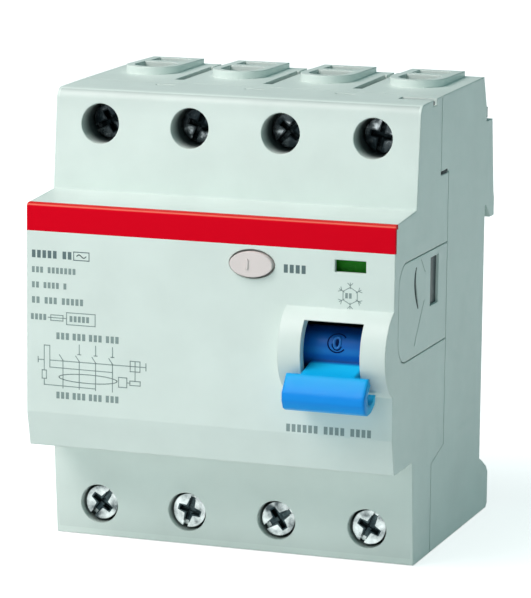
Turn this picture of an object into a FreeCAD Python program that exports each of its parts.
"""Four-pole residual current device for a 35 mm mounting rail.

Frame: origin on the rail's seat plane, midway across the width and in line with the rail's centre.
+Z is up, +Y points to the rail and the wall behind it, and the operating face looks along -Y.
Every length is in millimetres and every angle in degrees.
"""
import FreeCAD
import Part
import os
import re
import Sketcher

POLES = (1, 2, 3, 4)
INNER_WALLS = (1, 2, 3)

SIZES = {
    # overall body
    "pole_pitch": 17.5,
    "body_height": 85.0,
    "wall": 2.0,
    "front_drop": 0.5,
    # shoulders and nose
    "shoulder_depth": 44.9,
    "shoulder_draft": 1.7,
    "shoulder_round": 2.0,
    "top_fall_front": 1.0,
    "top_fall_joint": 0.6,
    "nose_depth": 57.5,
    "nose_height": 45.0,
    "nose_roof_rise": 1.0,
    "nose_round": 1.2,
    "lip_height": 6.5,
    "lip_slope": 1.5,
    # joint line between front cover and rear base
    "joint_low_depth": 33.1,
    "joint_mid_depth": 25.3,
    "joint_top_depth": 30.2,
    "joint_low_z": 25.7,
    "joint_mid_z": 23.6,
    "joint_top_z": 27.4,
    "seam_width": 0.3,
    "seam_depth": 0.5,
    # rail seat, hooks and feet
    "rail_half": 17.5,
    "rail_play": 0.2,
    "hook_reach": 6.5,
    "hook_top_reach": 4.2,
    "hook_top_z": 33.9,
    "hook_low_z": 15.0,
    "hook_mouth": 3.6,
    "hook_throat": 0.85,
    "back_top_slant": 2.2,
    "foot_reach": 6.1,
    "foot_height": 10.8,
    "foot_step": 1.8,
    "side_rib": 4.0,
    # terminals
    "screw_row": 35.8,
    "screw_hole_r": 3.7,
    "tube_wall": 1.2,
    "tube_depth": 10.0,
    "head_r": 3.2,
    "head_length": 3.2,
    "shank_r": 2.45,
    "thread_play": 0.05,
    "upper_sink": 5.0,
    "lower_sink": 1.3,
    "shank_length": 14.5,
    "drive_width": 0.9,
    "drive_depth": 1.2,
    "cage_half": 6.2,
    "cage_wall": 1.2,
    "cage_front": 31.5,
    "cage_back": 10.9,
    "nut_thickness": 2.5,
    "cage_height": 8.0,
    "foot_plate": 1.2,
    # cable and busbar openings
    "collar_half": 5.2,
    "collar_centre": 16.6,
    "collar_back": 3.2,
    "collar_top": 43.55,
    "cable_half": 3.6,
    "cable_back": 12.1,
    "bar_half": 3.3,
    "bar_front": 9.7,
    "bar_back": 4.7,
    "slot_width": 1.75,
    "slot_depth": 8.0,
    "partition": 4.4,
    # toggle and its hump
    "hump_reach": 5.0,
    "hump_radius": 8.4,
    "hump_left": 15.0,
    "hump_wall": 1.8,
    "toggle_x": 24.8,
    "opening_half": 5.5,
    "opening_top": 5.7,
    "opening_low": 6.3,
    "barrel_r": 3.9,
    "barrel_half": 5.0,
    "skirt_length": 2.3,
    "skirt_bore_r": 3.0,
    "paddle_half": 7.6,
    "paddle_thick": 1.7,
    "axle_r": 1.0,
    "axle_play": 0.05,
    "crank_r": 4.4,
    "crank_arm": 3.0,
    "crank_thick": 1.2,
    "link_thick": 1.0,
    "link_play": 0.6,
    "link_pin_r": 0.6,
    "crank_lean": 30.0,
    # contact mechanism
    "carrier_y": 19.5,
    "carrier_z": 3.0,
    "carrier_r": 3.2,
    "carrier_swing": 20.0,
    "arm_offset": 5.3,
    "pad_height": 13.6,
    "journal_r": 1.6,
    "journal_length": 1.0,
    "arm_half": 2.0,
    "arm_thick": 1.5,
    "arm_length": 15.5,
    "pad_r": 1.9,
    "pad_thick": 0.9,
    "contact_gap": 0.1,
    "strip_thick": 1.0,
    "strip_half": 2.5,
    # residual current sensing and tripping
    "core_y": 34.0,
    "core_low": 19.5,
    "core_height": 7.0,
    "core_in_r": 7.0,
    "core_out_r": 12.5,
    "winding": 0.8,
    "tape": 0.15,
    "wire": 1.8,
    "wire_spread_x": 2.6,
    "wire_spread_y": 2.0,
    "wire_run_high": 10.0,
    "wire_run_low": 23.4,
    "relay_x": 25.0,
    "relay_half": 6.0,
    "relay_front": 52.0,
    "relay_back": 40.0,
    "relay_height": 12.0,
    "plunger_r": 1.0,
    "plunger_out": 3.0,
    "trip_y": 50.0,
    "trip_z": 2.0,
    "trip_r": 1.2,
    # test button and indicator
    "test_x": 8.4,
    "test_z": 13.6,
    "test_half_x": 4.0,
    "test_half_z": 2.3,
    "test_proud": 0.7,
    "test_gap": 0.35,
    "test_stroke": 1.6,
    "test_flange": 0.8,
    "stem_r": 1.5,
    "window_x": 26.8,
    "window_z": 14.3,
    "window_half_x": 2.9,
    "window_half_z": 1.1,
    "window_edge": 0.5,
    "window_thick": 0.9,
    "flag_thick": 0.8,
    "flag_travel": 3.2,
    # small trim
    "band_height": 5.0,
    "band_thick": 0.7,
    "band_turn": 1.4,
    "flap_front": 55.0,
    "flap_low": 3.4,
    "flap_high": 14.4,
    "flap_thick": 1.1,
    "flap_gap": 0.2,
    "flap_round": 4.4,
    "clip_half": 30.8,
    "clip_front": 0.3,
    "clip_thick": 2.0,
    "clip_lip": 2.4,
    "clip_travel": 4.0,
    "clip_play": 0.15,
}

HALF_WIDTH = "2 * pole_pitch"
HALF_HEIGHT = "body_height / 2"
NOSE_TOP = "(nose_height / 2 - front_drop)"
NOSE_LOW = "(-nose_height / 2 - front_drop)"
HUMP_Y = "(-nose_depth - hump_reach + hump_radius)"
HUMP_Z = "(-front_drop * 2)"
UPPER_SCREW_Z = "(screw_row - front_drop)"
LOWER_SCREW_Z = "(-screw_row - front_drop)"
SCREW_FACE = "(-shoulder_depth + 0.7 * shoulder_draft)"
CARRIER = ("0", "-carrier_y", "-carrier_z")
LEVER = "(crank_arm * sin(crank_lean) / sin(carrier_swing / 2))"
X_AXIS = FreeCAD.Vector(1, 0, 0)
Y_AXIS = FreeCAD.Vector(0, 1, 0)
Z_AXIS = FreeCAD.Vector(0, 0, 1)
TURN = {
    "x": FreeCAD.Rotation(Y_AXIS, 90),
    "y": FreeCAD.Rotation(X_AXIS, -90),
    "z": FreeCAD.Rotation(),
}

doc = FreeCAD.newDocument("residual_current_device")
sheet = doc.addObject("Spreadsheet::Sheet", "Sizes")
finished = []


def fill_sheet():
    """Writes every driving size to the sheet under its own alias."""
    for row, (name, size) in enumerate(SIZES.items(), start=1):
        sheet.set(f"A{row}", name)
        sheet.set(f"B{row}", str(size))
        sheet.setAlias(f"B{row}", name)
    doc.recompute()


def with_sheet(expression):
    """Points each size's name in an expression at its cell."""
    return re.sub(r"[a-z_]\w+", lambda word: f"Sizes.{word[0]}" if word[0] in SIZES else word[0], expression)


def bind(item, prop, expression):
    item.setExpression(prop, with_sheet(str(expression)))


def put(item, at):
    """Binds the three coordinates of an item's placement."""
    for axis, expression in zip("xyz", at):
        bind(item, f"Placement.Base.{axis}", expression)


def box(x, y, z):
    """A block between two expressions on each axis."""
    item = doc.addObject("Part::Box", "Block")
    for prop, (low, high) in zip(("Length", "Width", "Height"), (x, y, z)):
        bind(item, prop, f"({high}) - ({low})")
    put(item, (x[0], y[0], z[0]))
    return item


def rod(axis, radius, at, length, angle=360):
    """A round bar that starts at a point and runs along one positive axis."""
    item = doc.addObject("Part::Cylinder", "Rod")
    bind(item, "Radius", radius)
    bind(item, "Height", length)
    item.Angle = angle
    item.Placement = FreeCAD.Placement(FreeCAD.Vector(), TURN[axis])
    put(item, at)
    return item


def join(*pieces):
    item = doc.addObject("Part::MultiFuse", "Union")
    item.Shapes = list(pieces)
    item.Refine = True
    return item


def less(base, *tools):
    item = doc.addObject("Part::Cut", "Difference")
    item.Base = base
    item.Tool = tools[0] if len(tools) == 1 else join(*tools)
    item.Refine = True
    return item


def overlap(*pieces):
    item = doc.addObject("Part::MultiCommon", "Overlap")
    item.Shapes = list(pieces)
    return item


def origin_plane(body, role):
    return next(item for item in body.Origin.OriginFeatures if item.Role == role)


def profile(points, x):
    """A body padded along X between two expressions from an outline of (y, z) expressions."""
    body = doc.addObject("PartDesign::Body", "Profile")
    sketch = body.newObject("Sketcher::SketchObject", "Outline")
    sketch.AttachmentSupport = (origin_plane(body, "YZ_Plane"), [""])
    sketch.MapMode = "FlatFace"
    count = len(points)
    ring = [FreeCAD.Vector(index, index * index, 0) for index in range(count)]
    for index in range(count):
        sketch.addGeometry(Part.LineSegment(ring[index], ring[(index + 1) % count]), False)
    for index in range(count):
        sketch.addConstraint(Sketcher.Constraint("Coincident", index, 2, (index + 1) % count, 1))
    for index, corner in enumerate(points):
        for kind, expression, start in zip(("DistanceX", "DistanceY"), corner, ring[index]):
            number = sketch.addConstraint(Sketcher.Constraint(kind, -1, 1, index, 1, start))
            bind(sketch, f"Constraints[{number}]", expression)
    bind(sketch, "AttachmentOffset.Base.z", x[0])
    pad = body.newObject("PartDesign::Pad", "Pad")
    pad.Profile = sketch
    bind(pad, "Length", f"({x[1]}) - ({x[0]})")
    doc.recompute()
    return body


def rounded(body, radius, wanted):
    """Rounds the body's edges along X whose middle passes the test."""
    doc.recompute()
    base = body.Tip
    names = []
    for number, edge in enumerate(base.Shape.Edges, start=1):
        along_x = abs(edge.BoundBox.XLength - edge.Length) < 1e-6
        if along_x and wanted(edge.BoundBox.Center):
            names.append(f"Edge{number}")
    fillet = body.newObject("PartDesign::Fillet", "Round")
    fillet.Base = (base, names)
    bind(fillet, "Radius", radius)
    return body


def node(label, item):
    """Names a finished piece after its file."""
    item.Label = label
    finished.append(item)
    return item


def coil(axis, radius, wire, at, length, turns):
    """A wound spring of round wire, its wire inside the stated length."""
    helix = doc.addObject("Part::Helix", "Helix")
    bind(helix, "Pitch", f"(({length}) - 2 * ({wire})) / {turns}")
    bind(helix, "Height", f"({length}) - 2 * ({wire})")
    bind(helix, "Radius", radius)
    helix.SegmentLength = 1
    section = doc.addObject("Part::Circle", "Wire")
    bind(section, "Radius", wire)
    section.Placement = FreeCAD.Placement(FreeCAD.Vector(), FreeCAD.Rotation(X_AXIS, 90))
    bind(section, "Placement.Base.x", radius)
    sweep = doc.addObject("Part::Sweep", "Coil")
    sweep.Sections = [section]
    sweep.Spine = helix
    sweep.Solid = True
    sweep.Frenet = True
    start = list(at)
    position = "xyz".index(axis)
    start[position] = f"{start[position]} + ({wire})"
    sweep.Placement = FreeCAD.Placement(FreeCAD.Vector(), TURN[axis])
    put(sweep, start)
    return sweep


def pole_x(pole):
    return f"({pole} - 2.5) * pole_pitch"


def terminals():
    """Name, pole, screw height and depth of the screw's head below the face, for the eight terminals."""
    for pole in POLES:
        yield f"upper_{pole}", pole, UPPER_SCREW_Z, "upper_sink"
        yield f"lower_{pole}", pole, LOWER_SCREW_Z, "lower_sink"


def cover_outline():
    return [
        ("-joint_low_depth", f"-{HALF_HEIGHT}"),
        ("-(shoulder_depth - shoulder_draft)", f"-{HALF_HEIGHT}"),
        ("-shoulder_depth", NOSE_LOW),
        ("-(nose_depth - lip_slope)", NOSE_LOW),
        ("-nose_depth", f"{NOSE_LOW} + lip_height"),
        ("-nose_depth", NOSE_TOP),
        ("-shoulder_depth", f"{NOSE_TOP} + nose_roof_rise"),
        ("-(shoulder_depth - shoulder_draft)", f"{HALF_HEIGHT} - top_fall_front"),
        ("-joint_top_depth", f"{HALF_HEIGHT} - top_fall_joint"),
        ("-joint_top_depth", "joint_top_z"),
        ("-joint_mid_depth", "joint_top_z"),
        ("-joint_mid_depth", "-joint_mid_z"),
        ("-joint_low_depth", "-joint_low_z"),
    ]


def cover_hollow():
    """The space inside the cover, open to the rear."""
    points = [
        ("-(joint_mid_depth - wall)", f"-{HALF_HEIGHT} + wall"),
        ("-(shoulder_depth - shoulder_draft) + wall", f"-{HALF_HEIGHT} + wall"),
        ("-shoulder_depth + wall", f"{NOSE_LOW} + wall"),
        ("-(nose_depth - lip_slope) + wall", f"{NOSE_LOW} + wall"),
        ("-nose_depth + wall", f"{NOSE_LOW} + lip_height"),
        ("-nose_depth + wall", f"{NOSE_TOP} - wall"),
        ("-shoulder_depth + wall", f"{NOSE_TOP} + nose_roof_rise - wall"),
        ("-(shoulder_depth - shoulder_draft) + wall", f"{HALF_HEIGHT} - top_fall_front - wall"),
        ("-(joint_mid_depth - wall)", f"{HALF_HEIGHT} - top_fall_joint - wall"),
    ]
    return profile(points, (f"-{HALF_WIDTH} + wall", f"{HALF_WIDTH} - wall"))


def on_nose_edge(spot):
    """True for the upper front edge of the nose."""
    top = SIZES["nose_height"] / 2 - SIZES["front_drop"]
    return abs(spot.y + SIZES["nose_depth"]) < 1e-6 and abs(spot.z - top) < 1e-6


def colour_band():
    """Coloured strip let into the top edge of the nose."""
    low = f"{NOSE_TOP} - band_height"
    rise = "nose_roof_rise * band_turn / (nose_depth - shoulder_depth)"
    points = [
        ("-nose_depth", low),
        ("-nose_depth", NOSE_TOP),
        ("-nose_depth + band_turn", f"{NOSE_TOP} + {rise}"),
        ("-nose_depth + band_turn", f"{NOSE_TOP} - band_thick"),
        ("-nose_depth + band_thick", f"{NOSE_TOP} - band_thick"),
        ("-nose_depth + band_thick", low),
    ]
    body = profile(points, (f"-{HALF_WIDTH}", HALF_WIDTH))
    return rounded(body, "band_turn / 2", on_nose_edge)


def test_oval(grow, y):
    """An oval block about the test button's axis, grown by an expression and lying between two depths."""
    ellipse = doc.addObject("Part::Ellipse", "Oval")
    bind(ellipse, "MajorRadius", f"test_half_x + ({grow})")
    bind(ellipse, "MinorRadius", f"test_half_z + ({grow})")
    ellipse.Placement = FreeCAD.Placement(FreeCAD.Vector(), FreeCAD.Rotation(X_AXIS, 90))
    put(ellipse, ("test_x", y[0], "test_z"))
    block = doc.addObject("Part::Extrusion", "OvalBlock")
    block.Base = ellipse
    block.DirMode = "Custom"
    block.Dir = Y_AXIS
    block.Solid = True
    bind(block, "LengthFwd", f"({y[1]}) - ({y[0]})")
    return block


def test_bridge():
    """Bracket inside the cover that guides the button's stem and carries its spring and contact blade."""
    side = "(test_half_x + 1.6)"
    front = "-nose_depth + wall"
    seat = "(-nose_depth + 7)"
    legs = []
    for sign in ("-", "+"):
        edge = f"test_x {sign} {side}"
        legs.append(box((f"{edge} - 0.5", f"{edge} + 0.5"), (front, seat), ("test_z - 3", "test_z + 3")))
    plate = box((f"test_x - {side} - 0.5", f"test_x + {side} + 0.5"), (seat, f"{seat} + 1"),
                ("test_z - 3", "test_z + 3"))
    post = box(("test_x - 2", "test_x + 2"), (front, "-nose_depth + 10"), ("test_z - 12", "test_z - 9.5"))
    hole = rod("y", "stem_r + 0.1", ("test_x", front, "test_z"), "wall * 5")
    return less(join(*legs, plate), hole), post


def trip_bearings():
    """Two ribs inside the nose that carry the trip bar."""
    ribs = []
    for x in ("-32", "13"):
        rib = box((x, f"{x} + 1.5"), ("-nose_depth + wall", "-trip_y + 3"),
                  ("-trip_z - 2.5", "-trip_z + 2.5"))
        hole = rod("x", "trip_r + axle_play", (f"{x} - 1", "-trip_y", "-trip_z"), "4")
        ribs.append(less(rib, hole))
    return ribs


def toggle_cheek():
    """Cheek inside the hump that holds the left end of the toggle's axle; the side wall holds the other."""
    return box(("hump_left", "hump_left + hump_wall"), ("-nose_depth + wall - 1", f"{HUMP_Y} + 2.2"),
               (f"{HUMP_Z} - 3", f"{HUMP_Z} + 3"))


def front_cover(band, flap_cut):
    shell = profile(cover_outline(), (f"-{HALF_WIDTH}", HALF_WIDTH))
    crest = SIZES["body_height"] / 2 - SIZES["top_fall_front"]
    shell = rounded(shell, "shoulder_round", lambda spot: abs(spot.z - crest) < 1e-6)
    shell = rounded(shell, "band_turn / 2", on_nose_edge)
    length = f"{HALF_WIDTH} - hump_left"
    hump = rod("x", "hump_radius", ("hump_left", HUMP_Y, HUMP_Z), length)
    hump_hollow = rod("x", "hump_radius - hump_wall", ("hump_left + hump_wall", HUMP_Y, HUMP_Z),
                      f"{length} - hump_wall - wall")
    hump_front = overlap(hump, box(("hump_left", HALF_WIDTH), (f"{HUMP_Y} - 2 * hump_radius", "-nose_depth + wall"),
                                   (f"{HUMP_Z} - hump_radius", f"{HUMP_Z} + hump_radius")))
    opening = box(("toggle_x - opening_half", "toggle_x + opening_half"),
                  (f"{HUMP_Y} - hump_radius - 1", HUMP_Y),
                  (f"{HUMP_Z} - opening_low", f"{HUMP_Z} + opening_top"))
    tubes = []
    holes = []
    for name, pole, height, sink in terminals():
        tubes.append(rod("y", "screw_hole_r + tube_wall", (pole_x(pole), f"{SCREW_FACE} + wall / 2", height),
                         "tube_depth - wall / 2"))
        holes.append(rod("y", "screw_hole_r", (pole_x(pole), "-shoulder_depth - 1", height),
                         "tube_depth + 3"))
    bracket, post = test_bridge()
    saddles = [box((x, f"{x} + 1"), ("-nose_depth + wall - 0.5", "-trip_y + 1.5"),
                   ("test_z - 8.4", "test_z - 7.2")) for x in ("-7", "-1")]
    guides = []
    for sign in ("-", "+"):
        edge = f"window_x {sign} (window_half_x + 1.7)"
        guides.append(box((f"{edge} - 0.5", f"{edge} + 0.5"),
                          ("-nose_depth + wall - 0.5", "-nose_depth + wall + 1.6"),
                          ("window_z - 6", "window_z + 4.5")))
    window = box(("window_x - window_half_x", "window_x + window_half_x"),
                 ("-nose_depth - 1", "-nose_depth + wall + 1"),
                 ("window_z - window_half_z", "window_z + window_half_z"))
    seat = box(("window_x - window_half_x - window_edge", "window_x + window_half_x + window_edge"),
               ("-nose_depth + wall - window_thick - 0.2", "-nose_depth + wall + 0.1"),
               ("window_z - window_half_z - window_edge", "window_z + window_half_z + window_edge"))
    button_hole = test_oval("test_gap", ("-nose_depth - 1", "-nose_depth + wall + 0.5"))
    top_slots = [
        box((f"{wall_x(number)} - 1.8", f"{wall_x(number)} + 1.8"),
            ("-joint_top_depth - 3.6", "-joint_top_depth - 2.8"),
            (f"{HALF_HEIGHT} - 3.5", f"{HALF_HEIGHT} + 1"))
        for number in INNER_WALLS
    ]
    corner_slot = box((f"{HALF_WIDTH} - 6.6", f"{HALF_WIDTH} + 1"),
                      ("-joint_top_depth - 5.6", "-joint_top_depth - 3.2"),
                      (f"{HALF_HEIGHT} - top_fall_front - 0.9", f"{HALF_HEIGHT} + 1"))
    axle_hole = rod("x", "axle_r", ("hump_left - 1", HUMP_Y, HUMP_Z), f"{length} - wall / 2 + 1")
    hollowed = less(join(shell, hump_front), cover_hollow(), hump_hollow)
    ribbed = join(hollowed, *tubes, bracket, post, *saddles, *guides, *trip_bearings(), toggle_cheek())
    return less(ribbed, *holes, opening, window, seat, button_hole, *top_slots, corner_slot, axle_hole,
                band, flap_cut)


def wall_x(number):
    """Middle of the wall between two neighbouring poles."""
    return f"({number} - 2) * pole_pitch"


def base_outline():
    return [
        ("-joint_low_depth", f"-{HALF_HEIGHT}"),
        ("-joint_low_depth", "-joint_low_z"),
        ("-joint_mid_depth", "-joint_mid_z"),
        ("-joint_mid_depth", "joint_top_z"),
        ("-joint_top_depth", "joint_top_z"),
        ("-joint_top_depth", f"{HALF_HEIGHT} - top_fall_joint"),
        ("-back_top_slant", HALF_HEIGHT),
        ("0", "hook_top_z + 2.5"),
        ("0", f"-{HALF_HEIGHT}"),
    ]


def base_hollow():
    """The space inside the base, open to the front."""
    points = [
        ("-joint_low_depth - 1", f"-{HALF_HEIGHT} + wall"),
        ("-joint_low_depth - 1", f"{HALF_HEIGHT} - top_fall_joint - wall"),
        ("-wall", f"{HALF_HEIGHT} - top_fall_joint - wall"),
        ("-wall", f"-{HALF_HEIGHT} + wall"),
    ]
    return profile(points, (f"-{HALF_WIDTH} + wall", f"{HALF_WIDTH} - wall"))


def hook_outline():
    """Side rib above the rail: it leads the rail's upper edge in."""
    return [
        ("-0.5", "hook_top_z"),
        ("hook_top_reach", "hook_top_z"),
        ("hook_reach - 0.5", "hook_low_z + 4.7"),
        ("hook_reach", "hook_low_z + 3.5"),
        ("hook_reach", "hook_low_z"),
        ("hook_mouth", "hook_low_z"),
        ("hook_throat", "rail_half + rail_play"),
        ("-0.5", "rail_half + rail_play"),
    ]


def foot_outline():
    """Side rib at the bottom: it steps back towards the wall behind."""
    return [
        ("-0.5", f"-{HALF_HEIGHT} + foot_height"),
        ("0", f"-{HALF_HEIGHT} + foot_height"),
        ("foot_step", f"-{HALF_HEIGHT} + foot_height - 0.8"),
        ("foot_reach - 1.2", f"-{HALF_HEIGHT} + foot_height - 2.5"),
        ("foot_reach", f"-{HALF_HEIGHT} + foot_height - 3.8"),
        ("foot_reach", f"-{HALF_HEIGHT} + 0.8"),
        ("foot_reach - 0.8", f"-{HALF_HEIGHT}"),
        ("-0.5", f"-{HALF_HEIGHT}"),
    ]


def rear_ribs():
    """The four side ribs at the back, each with a groove for the edge of its rail clip."""
    ribs = []
    for inner, outer in ((f"-{HALF_WIDTH}", f"-{HALF_WIDTH} + side_rib"),
                         (f"{HALF_WIDTH} - side_rib", HALF_WIDTH)):
        ribs.append(profile(hook_outline(), (inner, outer)))
        ribs.append(profile(foot_outline(), (inner, outer)))
    tongue = f"{HALF_WIDTH} - side_rib + 1.3"
    groove = ("clip_front - clip_play", "clip_front + clip_thick + clip_play")
    high = box((f"-({tongue})", tongue), groove, ("rail_half", "hook_top_z + 1"))
    low = box((f"-({tongue})", tongue), groove, (f"-{HALF_HEIGHT} - 1", f"-{HALF_HEIGHT} + foot_height + 1"))
    return less(join(*ribs), high, low)


def terminal_openings(x, side):
    """Cable mouth and busbar slot of one terminal, cut right through the end wall."""
    low = f"{HALF_HEIGHT} - 6" if side > 0 else f"-{HALF_HEIGHT} - 1"
    height = "12" if side > 0 else "7"
    high = f"{low} + {height}"
    mouth = rod("z", "cable_half", (x, "-collar_centre", low), height)
    back = box((f"{x} - cable_half", f"{x} + cable_half"), ("-collar_centre", "-cable_back"), (low, high))
    bar = box((f"{x} - bar_half", f"{x} + bar_half"), ("-bar_front", "-bar_back"), (low, high))
    return [mouth, back, bar]


def seam_line(shift):
    """The joint line up one side, moved towards the rear by an expression."""
    return [
        (f"-joint_low_depth + {shift}", f"-{HALF_HEIGHT} - 1"),
        (f"-joint_low_depth + {shift}", "-joint_low_z"),
        (f"-joint_mid_depth + {shift}", "-joint_mid_z"),
        (f"-joint_mid_depth + {shift}", f"joint_top_z + {shift}"),
        (f"-joint_top_depth + {shift}", f"joint_top_z + {shift}"),
        (f"-joint_top_depth + {shift}", f"{HALF_HEIGHT} + 1"),
    ]


def seam_groove():
    """Narrow groove that runs round the housing where the front cover meets the rear base."""
    outline = seam_line("seam_width") + seam_line("(-0.1)")[::-1]
    strip = profile(outline, (f"-{HALF_WIDTH} - 1", f"{HALF_WIDTH} + 1"))
    inner = f"({HALF_WIDTH} - seam_depth)"
    core = box((f"-{inner}", inner), ("-joint_low_depth - 2", "0"),
               (f"-{HALF_HEIGHT} + seam_depth", f"{HALF_HEIGHT} - top_fall_joint - seam_depth"))
    return less(strip, core)


def rear_base():
    shell = profile(base_outline(), (f"-{HALF_WIDTH}", HALF_WIDTH))
    hollowed = less(shell, base_hollow())
    added = [rear_ribs()]
    removed = []
    for pole in POLES:
        x = pole_x(pole)
        floor = f"{HALF_HEIGHT} - 2"
        added.append(rod("z", "collar_half", (x, "-collar_centre", floor), f"collar_top - ({floor})"))
        added.append(box((f"{x} - collar_half", f"{x} + collar_half"), ("-collar_centre", "-collar_back"),
                         (floor, "collar_top")))
        removed += terminal_openings(x, 1)
        removed += terminal_openings(x, -1)
    for number in INNER_WALLS:
        x = wall_x(number)
        across = (f"{x} - partition / 2", f"{x} + partition / 2")
        deep = ("-joint_low_depth + 0.3", "-wall + 0.5")
        added.append(box(across, ("-joint_top_depth", "-wall + 0.5"),
                         (f"{UPPER_SCREW_Z} - 8", f"{HALF_HEIGHT} - top_fall_joint - wall + 0.5")))
        added.append(box(across, deep, (f"-{HALF_HEIGHT} + wall - 0.5", f"{LOWER_SCREW_Z} + 8")))
        slot = (f"{x} - slot_width / 2", f"{x} + slot_width / 2")
        top = f"{HALF_HEIGHT} + 1"
        bottom = f"{HALF_HEIGHT} - slot_depth"
        removed.append(box(slot, ("-joint_top_depth + 4.2", "-joint_top_depth + 9.5"), (bottom, top)))
        removed.append(box(slot, ("-joint_top_depth + 15.8", "-joint_top_depth + 23.5"), (bottom, top)))
        removed.append(box(slot, ("-joint_top_depth + 9", "-joint_top_depth + 16"),
                           (f"{HALF_HEIGHT} - 1.6", top)))
        removed.append(box((f"{x} - 0.35", f"{x} + 0.35"), ("-joint_top_depth + 23", "1"),
                           (f"{HALF_HEIGHT} - 1.2", top)))
    shelf = box(("-6", "6"), ("-core_y + core_out_r - 2.5", "-wall + 0.5"), ("-core_low - 1.6", "-core_low"))
    bore = "journal_r + axle_play"
    removed.append(rod("x", bore, (f"-{HALF_WIDTH} + wall - journal_length - 0.2", "-carrier_y", "-carrier_z"),
                       f"4 * pole_pitch - 2 * wall + 2 * journal_length + 0.4"))
    lugs = [
        box(("-2.2", "2.2"), ("-0.5", "clip_front + clip_thick + 0.5"),
            ("rail_half + 12.5", "rail_half + 14.5")),
        box(("-2.2", "2.2"), ("-0.5", "clip_front + clip_thick + 0.5"),
            ("-rail_half - 15.5", "-rail_half - 13.5")),
    ]
    jog_slot = box((f"{HALF_WIDTH} - 1", f"{HALF_WIDTH} + 1"),
                   ("-joint_top_depth + 0.2", "-joint_mid_depth - 0.6"),
                   ("joint_top_z - 0.1", "joint_top_z + 0.7"))
    return less(join(hollowed, *added, shelf, *lugs), seam_groove(), jog_slot, *removed)


def flap_block(grow, low, high):
    """The side flap's outline between two places along X, grown by an expression."""
    radius = f"(flap_round + ({grow}))"
    front = f"(-flap_front - ({grow}))"
    upper = f"(flap_high + ({grow}))"
    lower = f"(-flap_low - ({grow}))"
    length = f"({high}) - ({low})"
    corners = [rod("x", radius, (low, f"{front} + {radius}", z), length)
               for z in (f"{upper} - {radius}", f"{lower} + {radius}")]
    middle = box((low, high), (f"{front} + {radius}", "-joint_mid_depth"), (lower, upper))
    nose = box((low, high), (front, f"{front} + {radius} + 1"),
               (f"{lower} + {radius}", f"{upper} - {radius}"))
    return join(middle, nose, *corners)


def flap_groove(corners, depth):
    """A groove in the flap's face; its corners are measured from the flap's front and top edges."""
    outline = [(f"-flap_front + {along}", f"flap_high - {down}") for along, down in corners]
    return profile(outline, (f"{HALF_WIDTH} - {depth}", f"{HALF_WIDTH} + 1"))


def side_flap():
    """Cover plate let into the right side wall, over the opening for an auxiliary contact."""
    plate = flap_block("0", f"{HALF_WIDTH} - flap_thick", HALF_WIDTH)
    pocket = box((f"{HALF_WIDTH} - 0.6", f"{HALF_WIDTH} + 1"),
                 ("-joint_mid_depth - 10.4", "-joint_mid_depth - 5.3"),
                 ("flap_high - 10.2", "flap_high - 1.3"))
    slot = flap_groove([(10.1, 1.8), (9.5, 3.5), (11.5, 9.3), (12.1, 9.3), (10.1, 3.5), (10.7, 1.8)], 0.7)
    long_scribe = flap_groove([(15.45, 8.4), (9.65, 15.9), (9.95, 15.9), (15.75, 8.4)], 0.25)
    short_scribe = flap_groove([(13.15, 0.7), (15.85, 3.4), (16.15, 3.4), (13.45, 0.7)], 0.25)
    return less(plate, pocket, slot, long_scribe, short_scribe)


def indicator_window():
    """Clear lens behind the indicator's opening."""
    half_x = "(window_half_x + window_edge - 0.1)"
    half_z = "(window_half_z + window_edge - 0.1)"
    return box((f"window_x - {half_x}", f"window_x + {half_x}"),
               ("-nose_depth + wall - window_thick - 0.2", "-nose_depth + wall - 0.2"),
               (f"window_z - {half_z}", f"window_z + {half_z}"))


def indicator_flag():
    """Two-colour plate that rises behind the window as the toggle goes up."""
    half = "(window_half_x + 1.1)"
    front = "(-nose_depth + wall + 0.15)"
    return box((f"window_x - {half}", f"window_x + {half}"), (front, f"{front} + flag_thick"),
               ("window_z - 5.4", "window_z + 1.5"))


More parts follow.
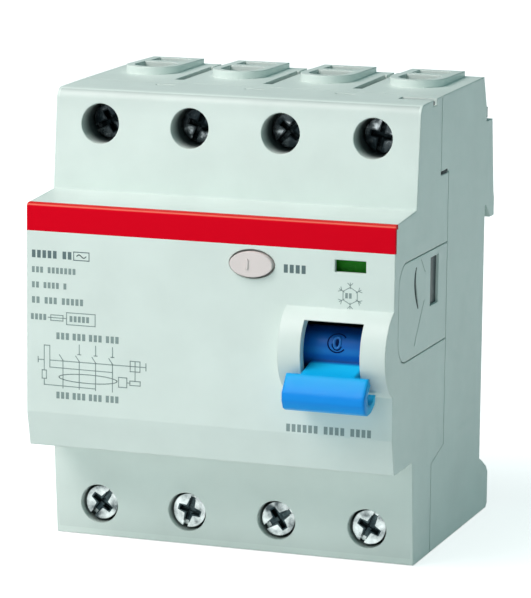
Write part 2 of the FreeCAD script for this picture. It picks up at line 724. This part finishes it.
def toggle():
    """Barrel, neck and hooked paddle in one moulding, drawn about its axle with the toggle down."""
    left = "(toggle_x - barrel_half)"
    right = "(toggle_x + barrel_half)"
    crank_x = f"({right} + 0.6)"
    pin_x = f"({crank_x} + crank_thick)"
    barrel = rod("x", "barrel_r", (f"{left} - skirt_length", "0", "0"), "2 * barrel_half + skirt_length")
    spring_room = rod("x", "skirt_bore_r", (f"{left} - skirt_length - 1", "0", "0"), "skirt_length + 1")
    neck = profile([
        ("-1.5", "-3.4"),
        ("-3.4", "-1.9"),
        ("-9.3", "-3.3"),
        ("-9.9", "-5.9"),
        ("-7.9", "-5.9"),
    ], (left, right))
    paddle = profile([
        ("-9.3", "-3.3"),
        ("-9.7", "-3.4"),
        ("-12", "-6.4"),
        ("-12", "-7.8"),
        ("-11.3", "-9.2"),
        ("-10", "-9.8"),
        ("-8", "-9.6"),
        ("-5.9", "-8.6"),
        ("-5.3", "-6.9"),
        ("-6.2", "-6.7"),
        ("-7.1", "-7.8"),
        ("-8.6", "-8.2"),
        ("-9.9", "-7.7"),
        ("-10.1", "-6.4"),
        ("-8.4", "-4.6"),
    ], ("toggle_x - paddle_half", "toggle_x + paddle_half"))
    crank = rod("x", "crank_r", (crank_x, "0", "0"), "crank_thick")
    stub = rod("x", "axle_r + 1", (f"{right} - 0.5", "0", "0"), "1.2")
    pin = rod("x", "link_pin_r", (f"{pin_x} - 0.3", "-crank_arm * sin(crank_lean)", "crank_arm * cos(crank_lean)"),
              "link_thick + 0.6")
    hub = rod("x", "axle_r + 0.8", ("hump_left + hump_wall + 0.2", "0", "0"),
              f"{left} - hump_left - hump_wall + 0.3")
    bore = rod("x", "axle_r + axle_play", ("hump_left", "0", "0"), f"{HALF_WIDTH} - hump_left")
    moulding = less(join(less(barrel, spring_room), neck, paddle, crank, stub, pin, hub), bore)
    put(moulding, ("0", HUMP_Y, HUMP_Z))
    return moulding


def toggle_axle():
    return rod("x", "axle_r", ("hump_left + 0.2", HUMP_Y, HUMP_Z),
               f"{HALF_WIDTH} - hump_left - wall / 2 - 0.4")


def drive_link():
    """Flat link from the toggle's crank pin to the contact carrier's lever, drawn from the crank pin."""
    pin_y = f"({HUMP_Y} - crank_arm * sin(crank_lean))"
    pin_z = f"({HUMP_Z} + crank_arm * cos(crank_lean))"
    run_y = f"(-carrier_y - {LEVER} * sin(carrier_swing / 2) - {pin_y})"
    run_z = f"(-carrier_z + {LEVER} * cos(carrier_swing / 2) - {pin_z})"
    length = f"sqrt({run_y}^2 + {run_z}^2)"
    low = "(toggle_x + barrel_half + 0.8 + crank_thick)"
    bar = box((low, f"{low} + link_thick"), ("0", length), ("-0.9", "0.9"))
    eyes = [rod("x", "link_pin_r + link_play + 0.7", (low, y, "0"), "link_thick") for y in ("0", length)]
    holes = [
        rod("x", "link_pin_r + 0.05", (f"{low} - 1", "0", "0"), "link_thick + 2"),
        rod("x", "link_pin_r + link_play", (f"{low} - 1", length, "0"), "link_thick + 2"),
    ]
    link = less(join(bar, *eyes), *holes)
    link.Placement = FreeCAD.Placement(FreeCAD.Vector(), FreeCAD.Rotation(X_AXIS, 5))
    put(link, ("0", pin_y, pin_z))
    bind(link, "Placement.Rotation.Angle", f"atan({run_z} / {run_y})")
    return link


def swung(item):
    """Places a piece drawn about the carrier's axis with the contacts closed, turned to contacts open."""
    item.Placement = FreeCAD.Placement(FreeCAD.Vector(), FreeCAD.Rotation(X_AXIS, 5))
    put(item, CARRIER)
    bind(item, "Placement.Rotation.Angle", "carrier_swing")
    return item


def contact_carrier():
    """Insulating bar across the poles with a post for each contact arm and a lever for the link."""
    half = f"({HALF_WIDTH} - wall - 0.3)"
    bar = rod("x", "carrier_r", (f"-{half}", "0", "0"), f"2 * {half}")
    tips = rod("x", "journal_r", (f"-{half} - journal_length", "0", "0"), f"2 * {half} + 2 * journal_length")
    posts = []
    bores = []
    for pole in POLES:
        x = pole_x(pole)
        posts.append(box((f"{x} - arm_half - 1.6", f"{x} + arm_half + 1.6"), ("0", "arm_offset"),
                         ("-2.5", "6")))
        bores.append(rod("y", "1.6", (x, "arm_offset - 3", "4"), "4"))
    lever_x = "(toggle_x + barrel_half + 0.6)"
    lever = box((lever_x, f"{lever_x} + crank_thick"), ("-1.3", "2.6"), ("0", f"{LEVER} + 1"))
    pin = rod("x", "link_pin_r", (f"{lever_x} + crank_thick - 0.3", f"{LEVER} * sin(carrier_swing / 2)",
                                  f"{LEVER} * cos(carrier_swing / 2)"), "link_thick + 0.6")
    return swung(less(join(bar, tips, *posts, lever, pin), *bores))


def contact_arm(pole):
    """Copper contact arm with its silver pad."""
    x = pole_x(pole)
    arm = box((f"{x} - arm_half", f"{x} + arm_half"), ("arm_offset", "arm_offset + arm_thick"),
              ("-3", "arm_length"))
    pad = rod("y", "pad_r", (x, "arm_offset + arm_thick / 2", "pad_height"), "arm_thick / 2 + pad_thick")
    return swung(join(arm, pad))


def contact_springs():
    """The four springs that press the contact arms, one in each post."""
    springs = [coil("y", 1.1, 0.25, (pole_x(pole), "arm_offset - 2.95", "4"), "2.9", 4) for pole in POLES]
    group = doc.addObject("Part::Compound", "Springs")
    group.Links = springs
    return swung(group)


def fixed_contact(pole):
    """Strip welded to the upper clamp cage, with the fixed contact pad at its lower end."""
    x = pole_x(pole)
    pad_z = "(-carrier_z + pad_height)"
    pad_front = "(-carrier_y + arm_offset + arm_thick + pad_thick + contact_gap)"
    strip = box((f"{x} - strip_half", f"{x} + strip_half"), ("-cage_back", "-cage_back + strip_thick"),
                (f"{pad_z} - 2.4", f"{UPPER_SCREW_Z} + cage_height / 2 - 1"))
    pad = rod("y", "pad_r", (x, pad_front, pad_z), f"-cage_back + strip_thick / 2 - {pad_front}")
    return join(strip, pad)


def load_conductor(pole):
    """Shoe behind the contact arm, wire through the sensing core and strip on the lower clamp cage."""
    x = pole_x(pole)
    side = "-" if pole < 2.5 else "+"
    outer = pole in (POLES[0], POLES[-1])
    core_x = f"({side}wire_spread_x)"
    core_y = f"(-core_y {'-' if outer else '+'} wire_spread_y)"
    shoe_front = "(-carrier_y + arm_offset + arm_thick + 0.8)"
    half = "wire / 2"
    strip = (f"{x} - strip_half", f"{x} + strip_half")
    back = "-cage_back + strip_thick"
    shoe = box(strip, (shoe_front, back), ("-wire_run_high - wire / 2", "1"))
    drop = (f"{core_y} - {half}", f"{core_y} + {half}")
    low_x, high_x = (x, core_x) if side == "-" else (core_x, x)
    pieces = [shoe]
    for level in ("-wire_run_high", "-wire_run_low"):
        rise = (f"{level} - {half}", f"{level} + {half}")
        pieces.append(box((f"{x} - {half}", f"{x} + {half}"), (f"{core_y} - {half}", back), rise))
        pieces.append(box((f"{low_x} - {half}", f"{high_x} + {half}"), drop, rise))
    pieces.append(box((f"{core_x} - {half}", f"{core_x} + {half}"), drop,
                      (f"-wire_run_low - {half}", f"-wire_run_high + {half}")))
    pieces.append(box(strip, ("-cage_back", back),
                      (f"{LOWER_SCREW_Z} - cage_height / 2 + 1", f"-wire_run_low + {half}")))
    return join(*pieces)


def clamp_cages(height):
    """The four clamp cages of one row, each with a threaded front wall."""
    cages = []
    for pole in POLES:
        x = pole_x(pole)
        rise = (f"{height} - cage_height / 2", f"{height} + cage_height / 2")
        block = box((f"{x} - cage_half", f"{x} + cage_half"), ("-cage_front", "-cage_back"), rise)
        hollow = box((f"{x} - cage_half + cage_wall", f"{x} + cage_half - cage_wall"),
                     ("-cage_front + nut_thickness", "-cage_back - cage_wall"),
                     (f"{height} - cage_height", f"{height} + cage_height"))
        thread = rod("y", "shank_r + thread_play", (x, "-cage_front - 1", height), "nut_thickness + 2")
        cages.append(less(block, hollow, thread))
    group = doc.addObject("Part::Compound", "Cages")
    group.Links = cages
    return group


def terminal_screw(pole, height, sink):
    """Clamp screw with a head that takes a flat or a cross driver."""
    x = pole_x(pole)
    face = f"({SCREW_FACE} + {sink})"
    head = rod("y", "head_r", (x, face, height), "head_length")
    shank = rod("y", "shank_r", (x, f"{face} + head_length / 2", height), "head_length / 2 + shank_length")
    slot = box((f"{x} - drive_width / 2", f"{x} + drive_width / 2"), (f"{face} - 1", f"{face} + drive_depth"),
               (f"{height} - head_r - 1", f"{height} + head_r + 1"))
    cross = box((f"{x} - 0.62 * head_r", f"{x} + 0.62 * head_r"),
                (f"{face} - 1", f"{face} + drive_depth * 1.3"),
                (f"{height} - drive_width / 2", f"{height} + drive_width / 2"))
    return less(join(head, shank), slot, cross)


def clamp_foot(pole, height, sink):
    """Pressure plate that the screw's tip pushes onto the cable."""
    x = pole_x(pole)
    tip = f"({SCREW_FACE} + {sink} + head_length + shank_length + 0.05)"
    half = "(cage_half - cage_wall - 0.2)"
    return box((f"{x} - {half}", f"{x} + {half}"), (tip, f"{tip} + foot_plate"),
               (f"{height} - 3.9", f"{height} + 3.9"))


def sensing_core():
    ring = rod("z", "core_out_r", ("0", "-core_y", "-core_low"), "core_height")
    return less(ring, rod("z", "core_in_r", ("0", "-core_y", "-core_low - 1"), "core_height + 2"))


def secondary_winding():
    """Wire wound round the front part of the sensing core."""
    base = "(-core_low - winding)"
    height = "(core_height + 2 * winding)"
    outer = rod("z", "core_out_r + winding", ("0", "-core_y", base), height, 110)
    outer.Placement = FreeCAD.Placement(FreeCAD.Vector(), FreeCAD.Rotation(Z_AXIS, 215))
    put(outer, ("0", "-core_y", base))
    middle = rod("z", "core_in_r - winding", ("0", "-core_y", f"{base} - 1"), f"{height} + 2")
    core = rod("z", "core_out_r + tape", ("0", "-core_y", "-core_low - tape"), "core_height + 2 * tape")
    eye = rod("z", "core_in_r - tape", ("0", "-core_y", "-core_low - 1"), "core_height + 2")
    return less(outer, middle, less(core, eye))


def relay_case():
    """Housing of the trip relay, standing on the floor of the nose."""
    floor = f"({NOSE_LOW} + wall)"
    top = f"({floor} + relay_height)"
    case = box(("-relay_x - relay_half", "-relay_x + relay_half"), ("-relay_front", "-relay_back"),
               (floor, top))
    room = rod("z", "relay_half - 1", ("-relay_x", "-(relay_front + relay_back) / 2", f"{floor} + 1"),
               "relay_height - 2")
    hole = rod("z", "plunger_r + axle_play", ("-relay_x", "-(relay_front + relay_back) / 2", f"{top} - 2"),
               "4")
    return less(case, room, hole)


def relay_coil():
    floor = f"({NOSE_LOW} + wall + 1)"
    at = ("-relay_x", "-(relay_front + relay_back) / 2")
    winding = rod("z", "relay_half - 1.3", (*at, floor), "relay_height - 4")
    return less(winding, rod("z", "plunger_r + 0.1", (*at, f"{floor} + 1"), "relay_height"))


def relay_plunger():
    base = f"({NOSE_LOW} + wall + relay_height / 2)"
    tip = "(-trip_z - trip_r - 0.1)"
    return rod("z", "plunger_r", ("-relay_x", "-(relay_front + relay_back) / 2", base), f"{tip} - {base}")


def trip_bar():
    """Bar that the plunger turns and that frees the toggle's latch."""
    left = "(-relay_x - relay_half - 0.8)"
    bar = rod("x", "trip_r", (left, "-trip_y", "-trip_z"), f"16.2 - {left}")
    tab = box(("-relay_x - 2", "-relay_x + 2"), ("-trip_y", "-trip_y + 5.2"),
              ("-trip_z - 0.9", "-trip_z + 0.2"))
    finger = box(("14.8", "16.2"), ("-trip_y - 0.7", "-trip_y + 0.7"), ("-trip_z - 4.5", "-trip_z"))
    return join(bar, tab, finger)


def test_button():
    """Oval push button with its retaining flange and stem."""
    inner = "(-nose_depth + wall)"
    cap = test_oval("0", ("-nose_depth - test_proud", f"{inner} + 0.3"))
    flange = test_oval("test_flange", (f"{inner} + 0.2", f"{inner} + 1"))
    stem = rod("y", "stem_r", ("test_x", f"{inner} + 0.8", "test_z"), "5.5")
    return join(cap, flange, stem)


def test_spring():
    return coil("y", 2.2, 0.3, ("test_x", "-nose_depth + wall + 1", "test_z"), "4", 4)


def test_blade():
    """Springy blade that the stem presses to close the test circuit."""
    back = "(-nose_depth + 10)"
    return box(("test_x - 1", "test_x + 1"), (back, f"{back} + 0.4"), ("test_z - 12", "test_z + 3"))


def test_resistor():
    at = ("-trip_y", "test_z - 5.6")
    body = rod("x", "1.6", ("-8", *at), "9")
    leads = rod("x", "0.35", ("-10", *at), "test_x + 8.95")
    return join(body, leads)


def clip_spring(low, high):
    return coil("z", 0.85, 0.25, ("0", "clip_front + clip_thick / 2 + 0.1", low), f"{high} - ({low})", 5)


def upper_clip():
    """Upper rail latch: its lip holds the rail's upper edge and its head is the pull."""
    back = ("clip_front", "clip_front + clip_thick")
    plate = box(("-clip_half", "clip_half"), back, ("rail_half + clip_play", "hook_top_z + 1"))
    tongue = f"({HALF_WIDTH} - side_rib + 1.1)"
    edges = box((f"-{tongue}", tongue), back, ("rail_half + 2", "hook_top_z - 0.5"))
    head = box((f"-{HALF_WIDTH} + 1", f"{HALF_WIDTH} - 1"), ("clip_front", "hook_top_reach"),
               ("hook_top_z + clip_play", "hook_top_z + 2.2"))
    lip = box(("-clip_half + 2", "clip_half - 2"), ("1.3", "3.7"), ("rail_half - clip_lip", "rail_half + 3"))
    window = box(("-2.5", "2.5"), ("-1", "5"), ("rail_half + 5", "rail_half + 15.5"))
    return less(join(plate, edges, head, lip), window)


def lower_clip():
    """Lower rail latch, pulled down with a screwdriver in its end slot."""
    end = f"(-{HALF_HEIGHT} + clip_travel + 1)"
    back = ("clip_front", "clip_front + clip_thick")
    plate = box(("-clip_half", "clip_half"), back, (end, "-rail_half - clip_play"))
    tongue = f"({HALF_WIDTH} - side_rib + 1.1)"
    edges = box((f"-{tongue}", tongue), back, (end, f"-{HALF_HEIGHT} + foot_height"))
    lip = box(("-clip_half + 2", "clip_half - 2"), ("1.3", "3.7"),
              ("-rail_half - 3", "-rail_half + clip_lip"))
    window = box(("-2.5", "2.5"), ("-1", "5"), ("-rail_half - 16.5", "-rail_half - 6"))
    pull = box(("-4", "4"), ("-1", "5"), (f"{end} + 1.5", f"{end} + 3"))
    return less(join(plate, edges, lip), window, pull)


def toggle_spring():
    return coil("x", 2.4, 0.3, ("hump_left + hump_wall + 0.3", HUMP_Y, HUMP_Z), "2.4", 3)


def build():
    fill_sheet()
    band = node("colour_band", colour_band())
    recess = flap_block("flap_gap", f"{HALF_WIDTH} - flap_thick - flap_gap", f"{HALF_WIDTH} + 1")
    node("front_cover", front_cover(band, recess))
    node("rear_base", rear_base())
    node("side_flap", side_flap())
    node("indicator_window", indicator_window())
    node("indicator_flag", indicator_flag())
    node("toggle", toggle())
    node("toggle_axle", toggle_axle())
    node("toggle_spring", toggle_spring())
    node("drive_link", drive_link())
    node("contact_carrier", contact_carrier())
    node("contact_springs", contact_springs())
    node("upper_clamp_cages", clamp_cages(UPPER_SCREW_Z))
    node("lower_clamp_cages", clamp_cages(LOWER_SCREW_Z))
    for pole in POLES:
        node(f"contact_arm_{pole}", contact_arm(pole))
        node(f"fixed_contact_{pole}", fixed_contact(pole))
        node(f"load_conductor_{pole}", load_conductor(pole))
    for name, pole, height, sink in terminals():
        node(f"screw_{name}", terminal_screw(pole, height, sink))
        node(f"clamp_foot_{name}", clamp_foot(pole, height, sink))
    node("sensing_core", sensing_core())
    node("secondary_winding", secondary_winding())
    node("relay_case", relay_case())
    node("relay_coil", relay_coil())
    node("relay_plunger", relay_plunger())
    node("trip_bar", trip_bar())
    node("test_button", test_button())
    node("test_spring", test_spring())
    node("test_blade", test_blade())
    node("test_resistor", test_resistor())
    node("upper_clip", upper_clip())
    node("lower_clip", lower_clip())
    node("upper_clip_spring", clip_spring("rail_half + 5", "rail_half + 12.5"))
    node("lower_clip_spring", clip_spring("-rail_half - 13.5", "-rail_half - 6"))


def check_and_write():
    """Refuses to write anything unless every object has solved and every piece is sound."""
    doc.recompute()
    failed = [item.Name for item in doc.Objects if {"Invalid", "Error"} & set(item.State)]
    for item in finished:
        if item.Shape.isNull() or not item.Shape.isValid() or not item.Shape.Solids:
            failed.append(item.Label)
    if failed:
        raise RuntimeError("not solved: " + ", ".join(failed))
    os.makedirs("parts", exist_ok=True)
    for item in finished:
        item.Shape.exportStep(f"parts/{item.Label}.step")
        print(f"{item.Label}: {len(item.Shape.Solids)} solid, {item.Shape.Volume:.1f} mm3")


build()
check_and_write()
